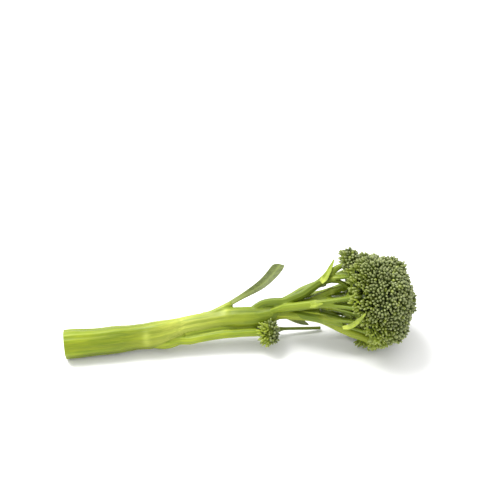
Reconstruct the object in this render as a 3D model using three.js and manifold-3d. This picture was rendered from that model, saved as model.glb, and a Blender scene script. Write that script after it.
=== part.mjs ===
// One cut stalk of baby broccoli, lying on a flat surface.
// Millimetres, +Z up. +X runs from the flat cut of the stem to the crown, and the origin is the middle of the
// stalk's bounding box on the surface it lies on.
// Every organ is a closed body of its own: the stem, each branch, each floret, the side shoot and the leaves.

import * as THREE from "three";
import { mergeVertices } from "three/addons/utils/BufferGeometryUtils.js";
import Module from "manifold-3d";

// ---------------------------------------------------------------------------------------------- dimensions

const GAP = 0.3; // clear space between neighbouring organs
const SINK = 0.25; // how far the lowest organs are pressed flat by their own weight

// The crown: a dome of florets around its own centre, which faces along +X.
const CROWN = { x: 151, y: 7, z: 24 };
const HEAD_REACH = 14.5; // from the crown's centre to the middle of a floret
const HEAD_RADIUS = 11; // a floret's dome
const HEAD_DEPTH = 0.35; // how far a floret reaches back from its middle, in radii
const BRANCH_TIP_RADIUS = 1.5;

// How far a branch has moved from the main stem towards its floret, at shares of the way along.
const SPREAD = [
  [0, 0],
  [0.3, 0.44],
  [0.6, 0.74],
  [0.85, 0.93],
];

// The main stem from the cut to the middle of the crown, as stations of [x, y, z, radius].
const STEM = [
  [0, -6.1, 6.8, 6.9],
  [18.5, -4.3, 7.4, 6.5],
  [38.5, -1.4, 8.2, 6.1],
  [47.5, -0.6, 8.9, 6.4],
  [58.5, 3.2, 10.3, 4.9],
  [68.5, 4.7, 11.4, 4.9],
  [78.5, 6.3, 12.6, 5.1],
  [88.5, 7.2, 13.8, 5.3],
  [97.5, 8.4, 15.0, 4.6],
  [105, 8.9, 16.5, 3.6],
  [114, 9.6, 18.5, 3.0],
  [124, 9.8, 20.6, 2.6],
  [140, 8.4, 23.0, 2.1],
  [164, 7.0, 24.0, 1.7],
];

// Florets of the crown. "tilt" is how far the floret sits from +X as seen from the crown's centre, "turn" is
// its place round the crown (90 is on top, 270 at the bottom), "face" is how far its own dome is tilted from
// +X, and "base" is its branch's radius at the start. "fork" is where along X the branch leaves the main stem,
// and the branches that grow in a line of their own have a "route" of [x, y, z] in its place.
const FLORETS = [
  { name: "tip", tilt: 0, turn: 0, face: 0 },
  {
    name: "outer_1", tilt: 90, turn: 90, face: 58, base: 2.7,
    route: [
      [84, 6.9, 13.2], [91.5, 8.4, 17.2], [99.5, 9.8, 20.6], [108.5, 8.6, 22.8],
      [118.5, 9.8, 25.4], [124.5, 13.0, 28.6], [130, 14.4, 31.8], [138, 12.2, 34.4],
    ],
  },
  {
    name: "outer_5", tilt: 84, turn: 236, face: 66, base: 2.6, reach: 17.6, radius: 9.4,
    route: [
      [92, 7.4, 13.6], [99.5, 7.0, 14.4], [106, 6.2, 15.2], [113.5, 4.1, 17.2],
      [128.5, 3.7, 16.4], [136, 1.6, 14.2], [143.5, -0.6, 11.6],
    ],
  },
  { name: "outer_7", tilt: 88, turn: 141, face: 58, fork: 96, base: 2.2 },
  { name: "outer_6", tilt: 92, turn: 193, face: 58, fork: 104, base: 2.0 },
  { name: "outer_2", tilt: 92, turn: 38, face: 58, fork: 101, base: 2.1 },
  { name: "outer_3", tilt: 92, turn: 347, face: 58, fork: 107, base: 2.0 },
  { name: "outer_4", tilt: 92, turn: 296, face: 58, fork: 98, base: 2.2 },
  { name: "inner_1", tilt: 47, turn: 270, face: 36, fork: 126, base: 1.7 },
  { name: "inner_2", tilt: 47, turn: 342, face: 36, fork: 122, base: 1.7 },
  { name: "inner_3", tilt: 47, turn: 54, face: 36, fork: 118, base: 1.7 },
  { name: "inner_4", tilt: 47, turn: 126, face: 36, fork: 128, base: 1.7 },
  { name: "inner_5", tilt: 47, turn: 198, face: 36, fork: 124, base: 1.7 },
  {
    name: "small", tilt: 114, turn: 62, face: 84, base: 1.6, reach: 22.5, radius: 6.4,
    route: [[125, 13.1, 28.8], [131, 15.4, 33.8], [136.5, 16.4, 38.2]],
  },
];

// The side shoot low on the stem, as stations of [x, y, z, radius], and its own little head.
const SIDE_SHOOT = [
  [45, -2.4, 7.2, 2.6],
  [54.5, -4.4, 6.6, 2.2],
  [68.5, -2.8, 8.1, 1.95],
  [81, -1.6, 9.4, 1.9],
  [90, -0.9, 10.0, 1.8],
  [100, -0.6, 10.1, 1.7],
];
const SIDE_HEAD = { x: 103, y: -0.6, z: 10.0, radius: 6.5, face: 20, turn: 230, depth: 0.9 };

// Leaves and bracts, as stations of [x, y, z, width, thickness] along the midrib. "up" is where the face looks,
// and "cup" is how far the edges rise, in widths.
const LEAVES = {
  long_leaf: {
    up: [-0.35, -0.55, 0.76],
    cup: 0.16,
    stations: [
      [76, 7.4, 15.9, 3.2, 2.2],
      [82, 10.0, 18.8, 2.0, 1.7],
      [88.5, 13.4, 21.0, 2.2, 1.4],
      [93.5, 17.1, 22.6, 4.4, 1.0],
      [99.5, 21.4, 24.0, 6.8, 0.8],
      [104.5, 27.1, 24.9, 6.6, 0.8],
      [107.3, 32.0, 24.9, 5.0, 0.8],
      [108.4, 35.4, 24.4, 1.6, 0.6],
    ],
  },
  fork_bract: {
    up: [-0.5, -0.6, 0.6],
    cup: 0.2,
    stations: [
      [128.4, 13.2, 32.0, 2.2, 1.0],
      [130.2, 13.6, 34.6, 3.8, 0.8],
      [131.6, 15.6, 37.2, 3.2, 0.7],
      [132.4, 17.6, 39.0, 0.8, 0.5],
    ],
  },
  stem_bract: {
    up: [-0.2, -0.75, 0.62],
    cup: 0.15,
    stations: [
      [118.5, 3.4, 24.8, 2.0, 0.9],
      [122.4, 0.8, 27.0, 2.6, 0.7],
      [126.6, -0.8, 29.0, 0.7, 0.5],
    ],
  },
  crown_bract: {
    up: [-0.3, -0.75, 0.55],
    cup: 0.2,
    stations: [
      [136.5, 1.2, 15.2, 2.4, 1.0],
      [140, -1.0, 16.6, 4.2, 0.8],
      [142.8, -2.0, 18.2, 2.8, 0.7],
      [144.8, -2.4, 19.4, 0.7, 0.5],
    ],
  },
  small_leaf: {
    up: [0.1, -0.8, 0.6],
    cup: 0.1,
    stations: [
      [111, 4.4, 15.6, 1.8, 1.0],
      [115.5, 3.9, 14.2, 3.0, 0.8],
      [119.2, 3.0, 13.2, 2.6, 0.7],
      [122, 2.0, 12.6, 0.7, 0.5],
    ],
  },
};

// The thin leaf stalk whose blade was trimmed off, as stations of [x, y, z, radius].
const TRIMMED_PETIOLE = [
  [86, -1.0, 9.8, 1.1],
  [94.5, 4.6, 6.6, 0.95],
  [103, 8.2, 4.4, 0.85],
  [112, 10.0, 3.2, 0.8],
  [121, 11.3, 2.2, 0.8],
  [129, 12.6, 1.3, 0.8],
];

const FLESH = { colour: 0xa5b84c, roughness: 0.42 };
const PALE_FLESH = { colour: 0x9bb04a, roughness: 0.45 };
const BUDS = { colour: 0x68703e, roughness: 0.7 };
const LEAF = { colour: 0x7a8449, roughness: 0.55 };
const BRACT = { colour: 0x889838, roughness: 0.5 };

// ------------------------------------------------------------------------------------------------- solids

const wasm = await Module();
wasm.setup();

/** A closed three.js geometry as a manifold solid, with its shared vertices merged. */
function toSolid(geometry) {
  geometry.deleteAttribute("normal");
  geometry.deleteAttribute("uv");
  const merged = mergeVertices(geometry, 1e-4);
  return new wasm.Manifold(
    new wasm.Mesh({
      numProp: 3,
      vertProperties: new Float32Array(merged.getAttribute("position").array),
      triVerts: new Uint32Array(merged.getIndex().array),
    }),
  );
}

/** A manifold solid back as a three.js geometry. */
function toGeometry(solid) {
  const mesh = solid.getMesh();
  const geometry = new THREE.BufferGeometry();
  geometry.setAttribute("position", new THREE.BufferAttribute(mesh.vertProperties, mesh.numProp));
  geometry.setIndex(new THREE.BufferAttribute(mesh.triVerts, 1));
  return geometry;
}

/** The solid less all of the others, as its one largest lump. */
function clearOf(solid, others) {
  const cut = others.reduce((left, other) => left.subtract(other), solid);
  const lumps = cut.decompose();
  return lumps.reduce((largest, lump) => (lump.volume() > largest.volume() ? lump : largest));
}

/** Moves every vertex of a geometry by a function that changes it in place, and none below the surface. */
function reshape(geometry, change) {
  const position = geometry.getAttribute("position");
  const point = new THREE.Vector3();
  for (let i = 0; i < position.count; i++) {
    change(point.fromBufferAttribute(position, i));
    position.setXYZ(i, point.x, point.y, Math.max(point.z, 0));
  }
  return geometry;
}

/** A smooth curve through stations, and the sizes in their later columns read along it. */
function route(stations) {
  const curve = new THREE.CatmullRomCurve3(stations.map(([x, y, z]) => new THREE.Vector3(x, y, z)));
  const sizes = stations.map(([, , , a, b = 0]) => new THREE.Vector3(a, b, 0));
  const size = new THREE.CatmullRomCurve3(sizes, false, "catmullrom", 0.4);
  return {
    curve,
    at: (along) => curve.getPointAt(along),
    sizeAt: (along) => size.getPoint(curve.getUtoTmapping(along)),
  };
}

/** A tapered round body along stations of [x, y, z, radius], swollen by "more" all round. */
function roundBody(stations, sides, steps, more = 0) {
  const { curve, at, sizeAt } = route(stations);
  const frames = curve.computeFrenetFrames(steps, false);
  const geometry = new THREE.CylinderGeometry(1, 1, 1, sides, steps);
  reshape(geometry, (p) => {
    const step = Math.round((p.y + 0.5) * steps);
    const radius = sizeAt(step / steps).x + more;
    const [across, out] = [p.x * radius, p.z * radius];
    p.copy(at(step / steps));
    p.addScaledVector(frames.normals[step], across);
    p.addScaledVector(frames.binormals[step], -out);
    if (step === 0) p.addScaledVector(frames.tangents[0], -more);
    if (step === steps) p.addScaledVector(frames.tangents[steps], more);
  });
  return toSolid(geometry);
}

/** A thin cupped body along stations of [x, y, z, width, thickness], whose face looks towards "up". */
function flatBody({ stations, up, cup }, steps) {
  const { curve, at, sizeAt } = route(stations);
  const facing = new THREE.Vector3(...up).normalize();
  const geometry = new THREE.BoxGeometry(1, 1, 1, steps, 4, 1);
  reshape(geometry, (p) => {
    const along = p.x + 0.5;
    const { x: width, y: thickness } = sizeAt(along);
    const tangent = curve.getTangentAt(along);
    const side = new THREE.Vector3().crossVectors(facing, tangent).normalize();
    const face = new THREE.Vector3().crossVectors(tangent, side);
    const rounded = Math.sqrt(1 - 3.2 * p.y * p.y);
    const [across, lift] = [p.y * width, 4 * p.y * p.y * cup * width];
    const off = p.z * thickness * rounded + lift;
    p.copy(at(along)).addScaledVector(side, across).addScaledVector(face, off);
  });
  return toSolid(geometry);
}

/**
 * A floret's body: a ball round its middle, cut back to a flat wherever it meets a neighbour half-way, and
 * behind, where its branch arrives. Each ray from the middle stops at the nearest of those surfaces.
 */
function domeBody(head, neighbours, more = 0) {
  const flats = neighbours.map((other) => {
    const away = other.middle.clone().sub(head.middle);
    const apart = away.length();
    const share = (apart * apart + head.radius ** 2 - other.radius ** 2) / (2 * apart);
    return { normal: away.normalize(), distance: share - GAP / 2 };
  });
  flats.push({ normal: head.axis.clone().negate(), distance: head.depth * head.radius });
  const geometry = new THREE.SphereGeometry(1, 12, 9);
  geometry.applyQuaternion(new THREE.Quaternion().setFromUnitVectors(new THREE.Vector3(0, 1, 0), head.axis));
  reshape(geometry, (ray) => {
    const reaches = flats.map(({ normal, distance }) => {
      const slope = ray.dot(normal);
      return slope > 1e-6 ? distance / slope : Infinity;
    });
    ray.multiplyScalar(Math.min(head.radius, ...reaches) + more).add(head.middle);
  });
  return toSolid(geometry);
}

// ------------------------------------------------------------------------------------------------ the stalk

const stalk = new THREE.Group();

/** Adds one organ to the stalk under its own name. */
function addOrgan(name, solid, { colour, roughness }) {
  const material = new THREE.MeshStandardMaterial({ color: colour, roughness, metalness: 0 });
  const organ = new THREE.Mesh(toGeometry(solid), material);
  organ.name = name;
  stalk.add(organ);
}

/** The direction "tilt" degrees from +X, turned "turn" degrees about +X from +Y towards +Z. */
function direction(tilt, turn) {
  const [a, b] = [THREE.MathUtils.degToRad(tilt), THREE.MathUtils.degToRad(turn)];
  return new THREE.Vector3(Math.cos(a), Math.sin(a) * Math.cos(b), Math.sin(a) * Math.sin(b));
}

/** Where a floret sits, how large it is and which way its dome faces. */
function placeHead({ name, tilt, turn, face, reach = HEAD_REACH, radius = HEAD_RADIUS }) {
  const middle = new THREE.Vector3(CROWN.x, CROWN.y, CROWN.z - SINK);
  middle.addScaledVector(direction(tilt, turn), reach);
  return { name, middle, radius, axis: direction(face, turn), depth: HEAD_DEPTH };
}

/** The stations of a branch, from its fork or its own route's start to the middle of its floret. */
function branchStations({ fork, base, route: line }, head) {
  const points = line ? line.map((point) => new THREE.Vector3(...point)) : spreadFrom(fork, head.middle);
  points.push(head.middle);
  return points.map(({ x, y, z }, i) => {
    const radius = THREE.MathUtils.lerp(base, BRANCH_TIP_RADIUS, i / (points.length - 1));
    return [x, y, z, radius];
  });
}

/** Points that leave the main stem's axis at its fork and move steadily out towards a floret. */
function spreadFrom(fork, target) {
  const outwards = target.clone().sub(stemAt(target.x));
  return SPREAD.map(([along, share]) => {
    const x = THREE.MathUtils.lerp(fork, target.x, along);
    return stemAt(x).addScaledVector(outwards, share);
  });
}

/** The point of the main stem's axis at a distance x from the cut. */
function stemAt(x) {
  const next = STEM.findIndex((station) => station[0] >= x);
  const [low, high] = [STEM[next - 1], STEM[next]].map((station) => new THREE.Vector3(...station));
  return low.lerp(high, (x - low.x) / (high.x - low.x));
}

// The florets keep their shape. The stem and then the branches are cut back from them and from each other.
const heads = FLORETS.map(placeHead);
const sideHead = {
  middle: new THREE.Vector3(SIDE_HEAD.x, SIDE_HEAD.y, SIDE_HEAD.z),
  radius: SIDE_HEAD.radius,
  axis: direction(SIDE_HEAD.face, SIDE_HEAD.turn),
  depth: SIDE_HEAD.depth,
};
const kept = [...heads, sideHead].map((head) => domeBody(head, othersThan(head), GAP));

/** The florets that a head is flattened against. */
function othersThan(head) {
  return heads.filter((other) => other !== head && head !== sideHead);
}

heads.forEach((head) => addOrgan(`floret_${head.name}`, domeBody(head, othersThan(head)), BUDS));
addOrgan("side_shoot_head", domeBody(sideHead, []), BUDS);

/** Adds a round organ, cut back from everything before it, and keeps later organs clear of it. */
function growRound(name, stations, sides, steps, skin) {
  addOrgan(name, clearOf(roundBody(stations, sides, steps), kept), skin);
  kept.push(roundBody(stations, sides, steps, GAP));
}

growRound("main_stem", STEM, 14, 32, FLESH);
growRound("side_shoot", SIDE_SHOOT, 8, 14, PALE_FLESH);
FLORETS.forEach((floret, i) => {
  if (!floret.base) return;
  growRound(`branch_${floret.name}`, branchStations(floret, heads[i]), 8, 12, PALE_FLESH);
});
growRound("trimmed_petiole", TRIMMED_PETIOLE, 8, 10, PALE_FLESH);

for (const [name, leaf] of Object.entries(LEAVES)) {
  addOrgan(name, clearOf(flatBody(leaf, 10), kept), name.includes("leaf") ? LEAF : BRACT);
}

// The origin is the middle of the stalk's footprint.
const box = new THREE.Box3().setFromObject(stalk);
const centre = box.getCenter(new THREE.Vector3());
stalk.position.set(-centre.x, -centre.y, -box.min.z);

export default stalk;
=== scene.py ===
"""A cut stalk of baby broccoli: its flesh, heads of buds, leaf and bracts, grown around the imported
solids."""

import math

import bmesh
import bpy
import numpy as np
from mathutils import Matrix, Vector
from mathutils.bvhtree import BVHTree


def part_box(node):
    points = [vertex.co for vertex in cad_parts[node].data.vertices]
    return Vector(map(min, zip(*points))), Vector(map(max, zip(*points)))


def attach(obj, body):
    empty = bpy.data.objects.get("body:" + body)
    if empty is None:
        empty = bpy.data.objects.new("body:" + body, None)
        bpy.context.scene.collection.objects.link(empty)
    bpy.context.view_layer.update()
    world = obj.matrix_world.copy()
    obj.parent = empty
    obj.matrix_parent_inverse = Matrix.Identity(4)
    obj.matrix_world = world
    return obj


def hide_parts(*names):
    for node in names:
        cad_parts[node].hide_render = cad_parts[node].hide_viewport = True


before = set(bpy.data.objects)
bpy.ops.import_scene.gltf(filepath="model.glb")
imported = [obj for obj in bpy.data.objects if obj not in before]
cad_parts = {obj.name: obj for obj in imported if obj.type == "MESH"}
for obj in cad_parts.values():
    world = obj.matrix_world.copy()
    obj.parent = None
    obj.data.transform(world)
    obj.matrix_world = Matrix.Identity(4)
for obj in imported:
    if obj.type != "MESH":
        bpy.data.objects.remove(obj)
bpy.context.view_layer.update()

# ---------------------------------------------------------------------------------------- dimensions
# Everything is worked out in millimetres in the row frame and becomes metres where a piece is made.

MM = 0.001
GOLDEN = math.pi * (3 - math.sqrt(5))  # the golden angle
BODY = "root"

CROWN_REACH = 25.5  # from the crown's middle to the outside of its florets
CROWN_CLUSTERS = 176
CROWN_WIDEST = 121.0  # how far round from +X the buds reach, in degrees
RIM_WIDTH = 34.0  # the band of loose clusters at the crown's edge, in degrees
LEAN_FROM, LEAN_OVER = 58.0, 45.0  # how far round from +X the buds begin to curl back, and over how far
SHOULDER_AT, SHOULDER_WIDTH = 52, 18  # where round from +X the crown stands prouder, and how widely
OPEN_SIDE, OPEN_WIDTH, OPEN_DEPTH = 209.0, 44.0, 39.0  # the open side: where round X, how wide, how far

# Where each branch divides into thinner stalks, in X from the crown's middle, and into how many.
DIVIDES = {
    "outer_1": (-16.5, 3), "outer_2": (-22, 4), "outer_3": (-25, 4), "outer_4": (-24, 4), "outer_6": (-22, 4),
    "outer_7": (-26, 4), "inner_1": (-20, 3), "inner_2": (-19, 3), "inner_3": (-18, 3), "inner_4": (-19, 3),
    "inner_5": (-20, 3), "outer_5": (0.5, 3),
}

# The branch nearest the floor droops and thickens from here on, in X from the crown's middle.
DROOP_FROM, DROOP_OVER = -34, 20
LOW_BRANCH_END = np.array([4.5, -9.8, -19.2])  # where it ends, from the crown's middle

FULLER_AT, FULLER_WIDTH = -54, 10  # the stem's fuller stretch above the side shoot, from the crown's middle

# The side shoot's swollen foot, as [x, y, z, radius] from the crown's middle.
SHOOT_FOOT = np.array([
    [-113, -8.6, -17.2, 2.0], [-108.5, -9.8, -18.0, 3.0], [-103.5, -10.6, -18.3, 3.3],
    [-98.5, -11.0, -17.9, 3.1], [-95.3, -10.8, -17.2, 2.5], [-92.8, -10.4, -16.6, 2.0],
])
SHOOT_LEAVES_AT, SHOOT_LEAVES_OVER = -68, 14  # where the side shoot leaves the stem, and over how far

# Paler, raised joints on the stem, as [x, y, z, size along X, size round the stem] from the crown's middle.
JOINTS = [[-109.4, -13.9, -13.2, 1.9, 3.6], [-70.5, -1.1, -5.9, 2.2, 3.4]]
JOINT_HEIGHT = 0.45
FORK_SIZE = (1.4, 2.2)  # the size of the joint where a branch divides

SKIN_GRAIN = 0.42  # spacing of the flesh's surface points
STEP = 0.9  # spacing of the rings along an organ
EASE = 6  # how many times an organ's line is eased between its neighbouring points
ROUND = 0.55  # a section is round if its smaller spread is more than this share of its larger one
SLANT = 2.6  # how far upstream a branch leaves its parent, for each millimetre it stands off it
PLUMP = 1.05  # the voxel skin shrinks as it is smoothed, so bodies are swept this much wider
STEM_RIBS, BRANCH_RIBS = 0.045, 0.068  # rib heights, as shares of the girth
ORGAN_PHASE = 2.1  # sets each organ's ribs apart from the next one's

# The rings of the cut face, as shares of its radius, and how far each steps out of the cut.
CUT_RINGS = (0.988, 0.95, 0.88, 0.8, 0.72, 0.62, 0.5, 0.38, 0.26, 0.14, 0.05)
CUT_DISH = (0.0, -0.03, -0.06, -0.05, 0.06, 0.04, -0.04, -0.06, -0.05, -0.03, 0.0)

BUD_LENGTH = 2.5
BUD_WIDTH = 1.55
BUD_ROOM = 1.22  # buds whose middles are nearer than this crowd each other out
BUD_STATIONS = np.array([0.0, 0.16, 0.38, 0.62, 0.82, 0.95])  # a bud's rings, as shares of its length
BUD_GIRTH = np.array([0.30, 0.76, 1.0, 0.95, 0.66, 0.28])
BUD_RIBS = np.array([0.0, 0.02, 0.05, 0.08, 0.12, 0.16])  # four sepals stand out towards the tip
LOWEST_BUD = 0.9  # no bud's middle is nearer the floor than this

# Tints of the organs, as display colours. The main stem's are at distances from its cut end.
STEM_TINTS = [
    (0, (129, 145, 19)), (30, (119, 134, 20)), (40, (128, 141, 28)),
    (58, (166, 175, 70)), (80, (125, 140, 30)), (100, (110, 127, 20)),
]
ROOT_TINT = (125, 140, 30)  # where a branch leaves the stem
BRANCH_TINTS = {
    "branch_outer_1": (100, 118, 16),
    "branch_outer_5": (142, 156, 42),
    "branch_outer_7": (124, 141, 28),
    "side_shoot": (138, 154, 34),
    "shoot_web": (112, 130, 18),
}
BRANCH_TINT = (112, 130, 24)
JOINT_TINT = (180, 191, 84)

# Each leaf or bract: the way its face looks, its cup, its wave, its pairs of side veins, its finish, and its
# rib as [x, y, z, width, thickness] from the crown's middle.
LEAVES = {
    "long_leaf": ((-0.35, -0.55, 0.76), 0.14, 0.03, 9, "leaf_blade", [
        [-75, 0.4, -8.1, 3.0, 2.2], [-69, 3.0, -5.2, 2.6, 1.7], [-62.5, 6.4, -3.0, 3.0, 1.4],
        [-57.5, 10.1, -2.6, 4.0, 1.0], [-51.5, 14.4, -1.6, 5.6, 0.8], [-46.5, 20.1, 0.4, 6.6, 0.8],
        [-43.9, 24.6, 0.9, 6.6, 0.8], [-42.8, 27.0, 0.7, 6.0, 0.7], [-42.3, 27.9, 0.6, 2.6, 0.5],
    ]),
    "fork_bract": ((-0.5, -0.6, 0.6), 0.2, 0.05, 5, "bract_skin", [
        [-22.6, 5.4, 7.4, 2.4, 1.0], [-20.8, 5.8, 9.8, 3.6, 0.8], [-18.6, 8.2, 13.0, 2.6, 0.7],
        [-16.4, 11.6, 17.0, 0.8, 0.5],
    ]),
    "stem_bract": ((-0.2, -0.75, 0.62), 0.15, 0.03, 4, "bract_skin", [
        [-29.8, -5.2, 1.1, 1.6, 0.9], [-26.6, -8.0, 3.9, 2.5, 0.7], [-22.8, -10.6, 7.2, 0.7, 0.5],
    ]),
    "crown_bract": ((-0.3, -0.75, 0.55), 0.2, 0.04, 4, "bract_skin", [
        [-12.5, -15.3, -4.2, 1.6, 0.9], [-9.5, -18.4, -1.0, 2.5, 0.7], [-6.5, -20.7, 4.0, 2.2, 0.6],
        [-3.0, -21.9, 10.5, 0.8, 0.5],
    ]),
    "small_leaf": ((0.1, -0.8, 0.6), 0.1, 0.03, 4, "leaf_blade", [
        [-40, -2.6, -8.4, 1.8, 1.0], [-35.5, -3.1, -9.8, 3.0, 0.8], [-31.8, -4.0, -10.8, 2.6, 0.7],
        [-29, -5.0, -11.4, 0.7, 0.5],
    ]),
}

OUTER = [f"outer_{i}" for i in range(1, 8)]
INNER = [f"inner_{i}" for i in range(1, 6)]
FLORETS = ["tip", *OUTER, *INNER, "small"]
BRANCHES = [*OUTER, *INNER, "small"]

rng = np.random.default_rng(41)


# ------------------------------------------------------------------------------------ small geometry

def unit(vectors):
    """Each vector divided by its own length."""
    return vectors / np.maximum(np.linalg.norm(vectors, axis=-1, keepdims=True), 1e-12)


def across(vectors):
    """A unit vector square to each vector: its cross product with Z, or with Y where it runs nearly along
    Z."""
    helper = np.where(np.abs(vectors[..., 2:3]) < 0.8 * np.linalg.norm(vectors, axis=-1, keepdims=True),
                      [0.0, 0.0, 1.0], [0.0, 1.0, 0.0])
    return unit(np.cross(vectors, helper))


def bent(start, bend, end, t):
    """The points at shares t of the quadratic curve from start to end that sets out towards bend."""
    return (1 - t) ** 2 * start + 2 * (1 - t) * t * bend + t ** 2 * end


def bell(values, middle, width):
    """A bell curve: e to the minus square of how many widths each value is from the middle."""
    return np.exp(-((values - middle) / width) ** 2)


def solid(node):
    """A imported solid's corners in millimetres and its triangles."""
    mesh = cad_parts[node].data
    triangles = np.empty(len(mesh.loops), np.int32)
    mesh.loops.foreach_get("vertex_index", triangles)
    return corners_of(mesh) / MM, triangles.reshape(-1, 3)


def box(node):
    """A solid's lowest and highest corners in millimetres."""
    low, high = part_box(node)
    return np.array(low) / MM, np.array(high) / MM


def middle_of(node):
    """The middle of a solid's box."""
    low, high = box(node)
    return (low + high) / 2


def smoothed(values, passes):
    """Each row moved to a quarter of each neighbour and half of itself, with the ends held."""
    values = values.copy()
    for _ in range(passes):
        values[1:-1] = values[:-2] / 4 + values[1:-1] / 2 + values[2:] / 4
    return values


def even(line, radii):
    """A line read again at even steps along its length, with the radii read along it too, both
    smoothed."""
    length = np.concatenate([[0], np.cumsum(np.linalg.norm(np.diff(line, axis=0), axis=1))])
    places = np.linspace(0, length[-1], max(4, round(length[-1] / STEP)))
    line = np.stack([np.interp(places, length, column) for column in line.T], 1)
    return smoothed(line, EASE), smoothed(np.interp(places, length, radii), EASE)


def spine_of(node, stations=44):
    """The middle line and radius of a round organ that runs along X. The solid is cut by planes across X,
    and each cut's middle is a station. Its radius is the root of twice its points' smaller spread. Cuts
    where the organ meets another are not round, and are left out."""
    corners, triangles = solid(node)
    edges = np.concatenate([triangles[:, [0, 1]], triangles[:, [1, 2]], triangles[:, [2, 0]]])
    start, end = corners[edges[:, 0]], corners[edges[:, 1]]
    middles, radii = [], []
    for x in np.linspace(corners[:, 0].min() + 0.05, corners[:, 0].max() - 0.3, stations):
        crossing = (start[:, 0] - x) * (end[:, 0] - x) < 0
        a, b = start[crossing], end[crossing]
        ring = a + (b - a) * ((x - a[:, :1]) / (b[:, :1] - a[:, :1]))
        spread = np.linalg.eigvalsh(np.cov(ring[:, 1:].T))
        if spread[0] > ROUND * spread[1]:
            middles.append(ring.mean(0))
            radii.append(math.sqrt(2 * spread[0]))
    return np.array(middles), np.array(radii)


# -------------------------------------------------------------------------------------- swept shapes
# A shape is a dictionary of its corners, its quads and its triangles, and of what it knows of each corner.

def frames_along(lines):
    """For each point of each line: the way along it and two square to it that turn as little as they
    can."""
    along = unit(np.gradient(lines, axis=1))
    side = np.empty_like(along)
    side[:, 0] = across(along[:, 0])
    for i in range(1, lines.shape[1]):
        carried = side[:, i - 1]
        side[:, i] = unit(carried - along[:, i] * (carried * along[:, i]).sum(-1, keepdims=True))
    return along, side, np.cross(along, side)


def closed(rings, poles):
    """Closed bodies as one shape, from their rings (bodies, stations, sides, 3) and their two poles
    (bodies, 2, 3): quads from ring to ring and a fan of triangles to each pole. "along" is each corner's
    share of the way from its body's first ring to its last, and "body" is which body it is on."""
    bodies, stations, sides = rings.shape[:3]
    size = stations * sides + 2
    here = np.arange(sides)
    after = (here + 1) % sides
    ring = np.arange(stations - 1)[:, None] * sides
    quads = np.stack([ring + here, ring + after, ring + sides + after, ring + sides + here], -1)
    first = np.stack([after, here, np.full(sides, size - 2)], -1)
    last = np.stack([here, after, np.full(sides, size - 1)], -1)
    last[:, :2] += (stations - 1) * sides
    offset = (np.arange(bodies) * size)[:, None, None]
    share = np.concatenate([np.repeat(np.linspace(0, 1, stations), sides), [0, 1]])
    return {
        "corners": np.concatenate([rings.reshape(bodies, -1, 3), poles], 1).reshape(-1, 3),
        "quads": (quads.reshape(-1, 4) + offset).reshape(-1, 4),
        "triangles": (np.concatenate([first, last]) + offset).reshape(-1, 3),
        "along": np.tile(share, bodies),
        "body": np.repeat(np.arange(bodies), size),
        "layout": (bodies, stations, sides),
    }


def sweep(lines, radii, sides, ribs=0.0, rib_count=4):
    """Closed bodies carried along many lines at once. A ring's point at angle t is middle + radius * (1 +
    ribs * cos(rib_count * t)) * (side * cos t + other * sin t). lines is (bodies, stations, 3), radii is
    (bodies, stations), and ribs may differ by body and station."""
    along, side, other = frames_along(lines)
    turn = np.arange(sides) * (2 * math.pi / sides)
    swell = radii[..., None] * (1 + np.asarray(ribs)[..., None] * np.cos(rib_count * turn))
    rings = (lines[:, :, None]
             + side[:, :, None] * (swell * np.cos(turn))[..., None]
             + other[:, :, None] * (swell * np.sin(turn))[..., None])
    poles = lines[:, [0, -1]] + along[:, [0, -1]] * (radii[:, [0, -1]] * [-0.3, 0.3])[..., None]
    return closed(rings, poles)


def atlas(shape):
    """A flat map for swept bodies: each has a cell of a square grid, with its sides across and stations
    up."""
    bodies, stations, sides = shape["layout"]
    cells = math.ceil(math.sqrt(bodies))
    cell = np.stack([np.arange(bodies) % cells, np.arange(bodies) // cells], -1)[:, None, None]
    left, centre, right = ((np.arange(sides) + shift) / sides for shift in (0, 0.5, 1))
    rise = 1 / (stations + 1)
    up = (np.arange(stations - 1)[:, None] + 1) / (stations + 1)

    def faces(*corners):
        """The faces whose corners are each given as across and up, in every body's cell."""
        flat = np.stack([np.stack(np.broadcast_arrays(*corner), -1) for corner in corners], -2)
        return (flat.reshape(-1, len(corners), 2) * 0.9 + 0.05 + cell) / cells

    quads = faces((left, up), (right, up), (right, up + rise), (left, up + rise))
    first = faces((right, rise), (left, rise), (centre, 0.0))
    last = faces((left, 1 - rise), (right, 1 - rise), (centre, 1.0))
    return np.concatenate([quads.reshape(-1, 2), np.concatenate([first, last], 1).reshape(-1, 2)])


def joined(shapes):
    """Several swept shapes as one, with the number of each corner's shape in "kind"."""
    sizes = [len(shape["corners"]) for shape in shapes]
    bases = np.cumsum([0, *sizes])
    whole = {key: np.concatenate([shape[key] for shape in shapes]) for key in ("corners", "along")}
    for key in ("quads", "triangles"):
        whole[key] = np.concatenate([shape[key] + base for shape, base in zip(shapes, bases)])
    whole["kind"] = np.repeat(np.arange(len(shapes)), sizes)
    return whole


def mesh_of(name, shape, scale=MM):
    """A mesh from a shape that is given in millimetres."""
    corners, quads, triangles = shape["corners"], shape["quads"], shape["triangles"]
    mesh = bpy.data.meshes.new(name)
    mesh.vertices.add(len(corners))
    mesh.vertices.foreach_set("co", (corners * scale).ravel())
    loops = np.concatenate([quads.ravel(), triangles.ravel()])
    mesh.loops.add(len(loops))
    mesh.loops.foreach_set("vertex_index", loops.astype(np.int32))
    starts = np.concatenate([np.arange(len(quads)) * 4, len(quads) * 4 + np.arange(len(triangles)) * 3])
    mesh.polygons.add(len(starts))
    mesh.polygons.foreach_set("loop_start", starts.astype(np.int32))
    mesh.polygons.foreach_set("use_smooth", np.ones(len(starts), bool))
    mesh.update(calc_edges=True)
    mesh.validate()
    return mesh


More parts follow.
